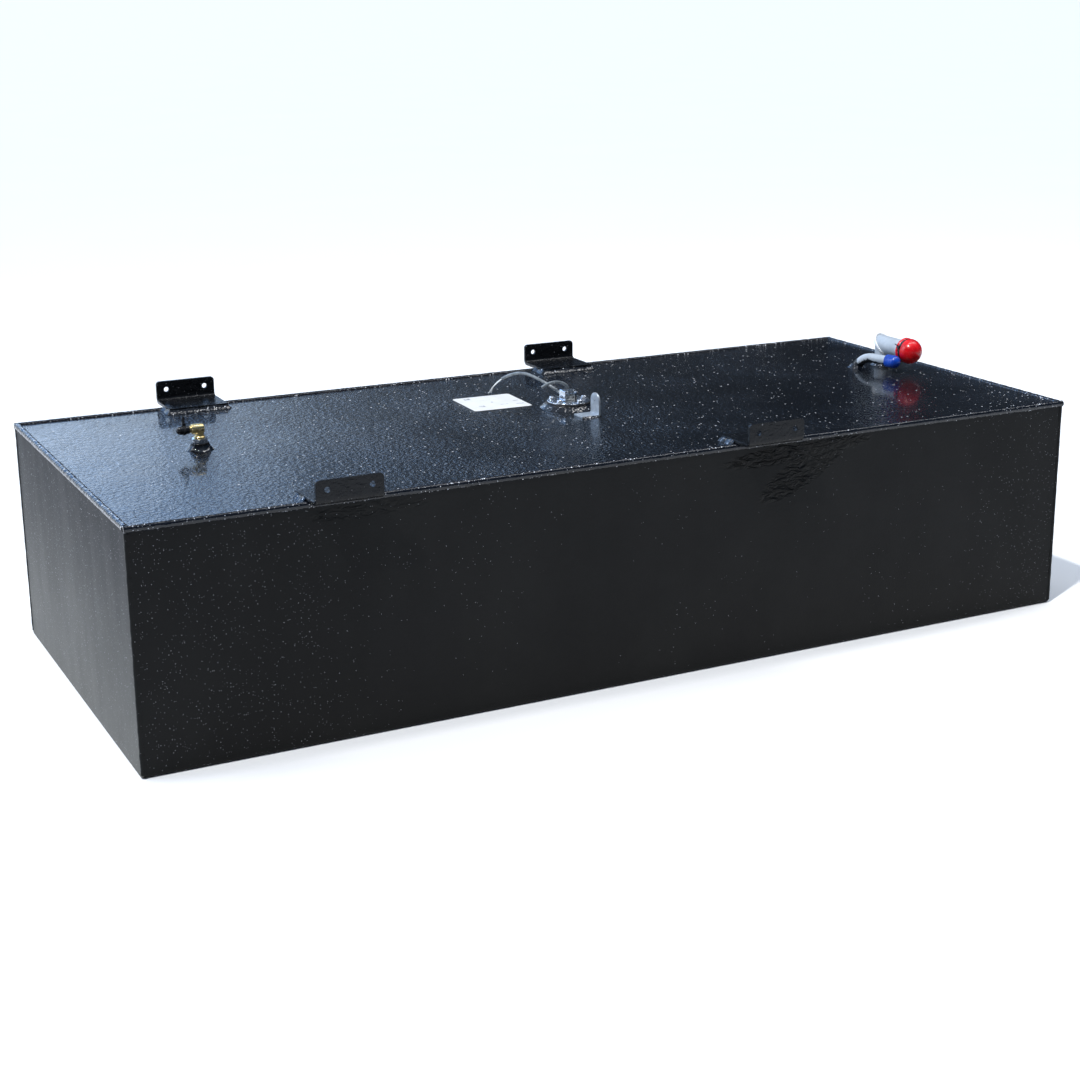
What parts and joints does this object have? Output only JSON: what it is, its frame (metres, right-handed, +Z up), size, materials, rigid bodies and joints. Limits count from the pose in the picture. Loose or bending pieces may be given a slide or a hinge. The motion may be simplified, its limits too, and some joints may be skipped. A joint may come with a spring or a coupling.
{
  "type": "hydraulic reservoir",
  "caption": "Long flat welded steel fluid tank with four L mounting brackets, capped filler, vent and outlet fittings, and a top-mounted level sender.",
  "frame": {"origin": "centre of the tank's underside", "axes": "+X along the tank towards the filler and vent, -Y the front long side, +Z up"},
  "size_m": [1.6052, 0.756, 0.4174],
  "materials": {
    "gloss_black_paint": "gloss",
    "satin_black_paint": "satin",
    "painted_weld": "gloss",
    "bare_steel": "satin",
    "data_label": "matte",
    "zinc_plate": "gloss",
    "brass": "satin",
    "stainless": "satin",
    "nitrile": "matte",
    "terminal_plastic": "satin",
    "lead_jacket": "satin",
    "wire_insulation": "satin",
    "grey_pipe": "satin",
    "red_vinyl": "gloss",
    "blue_vinyl": "gloss",
    "black_vinyl": "gloss",
    "black_nylon": "satin"
  },
  "bodies": {
    "tank": {"bracket_front_left": "gloss_black_paint", "bracket_front_right": "gloss_black_paint", "bracket_rear_left": "gloss_black_paint", "bracket_rear_right": "gloss_black_paint", "bracket_weld_front_left": "painted_weld", "bracket_weld_front_right": "painted_weld", "bracket_weld_rear_left": "painted_weld", "bracket_weld_rear_right": "painted_weld", "corner_weld_front_left": "painted_weld", "corner_weld_front_right": "painted_weld", "corner_weld_rear_left": "painted_weld", "corner_weld_rear_right": "painted_weld", "data_label": "data_label", "dip_tube": "stainless", "earth_lead": "lead_jacket", "earth_tab": "zinc_plate", "earth_tab_weld": "painted_weld", "filler_arm": "grey_pipe", "filler_base_weld": "painted_weld", "filler_mitre_weld": "grey_pipe", "filler_stub": "grey_pipe", "float_lower_stop": "stainless", "float_upper_stop": "stainless", "left_baffle": "bare_steel", "left_end_plate": "satin_black_paint", "outlet_bung": "gloss_black_paint", "outlet_bung_weld": "painted_weld", "outlet_bushing": "zinc_plate", "outlet_elbow": "brass", "right_baffle": "bare_steel", "right_end_plate": "satin_black_paint", "sender_boss": "gloss_black_paint", "sender_flange": "zinc_plate", "sender_gasket": "nitrile", "sender_housing": "zinc_plate", "sender_lead": "lead_jacket", "sender_screw_1": "zinc_plate", "sender_screw_2": "zinc_plate", "sender_screw_3": "zinc_plate", "sender_screw_4": "zinc_plate", "sender_screw_5": "zinc_plate", "sender_stem": "stainless", "sender_terminal_block": "terminal_plastic", "sender_wire_grey": "wire_insulation", "sender_wire_white": "wire_insulation", "suction_strainer": "stainless", "top_plate": "gloss_black_paint", "top_seam_weld_front": "painted_weld", "top_seam_weld_left": "painted_weld", "top_seam_weld_rear": "painted_weld", "top_seam_weld_right": "painted_weld", "vent_base_weld": "painted_weld", "vent_pipe": "grey_pipe", "wrap_sheet": "satin_black_paint"},
    "filler_cap": {"filler_cap": "red_vinyl", "filler_cap_tie": "black_nylon"},
    "vent_cap": {"vent_cap": "blue_vinyl"},
    "outlet_cap": {"outlet_cap": "black_vinyl", "outlet_cap_tie": "black_nylon"},
    "float": {"sender_float": "nitrile"}
  },
  "joints": [
    {"name": "filler_cap_pull", "type": "slide", "parent": "tank", "child": "filler_cap", "axis": [0, -1, 0], "range_m": [0, 0.06]},
    {"name": "vent_cap_pull", "type": "slide", "parent": "tank", "child": "vent_cap", "axis": [0.2756, -0.9613, 0], "range_m": [0, 0.02]},
    {"name": "outlet_cap_pull", "type": "slide", "parent": "tank", "child": "outlet_cap", "axis": [-1, 0, 0], "range_m": [0, 0.035]},
    {"name": "float_rise", "type": "slide", "parent": "tank", "child": "float", "axis": [0, 0, 1], "range_m": [0, 0.233]}
  ]
}
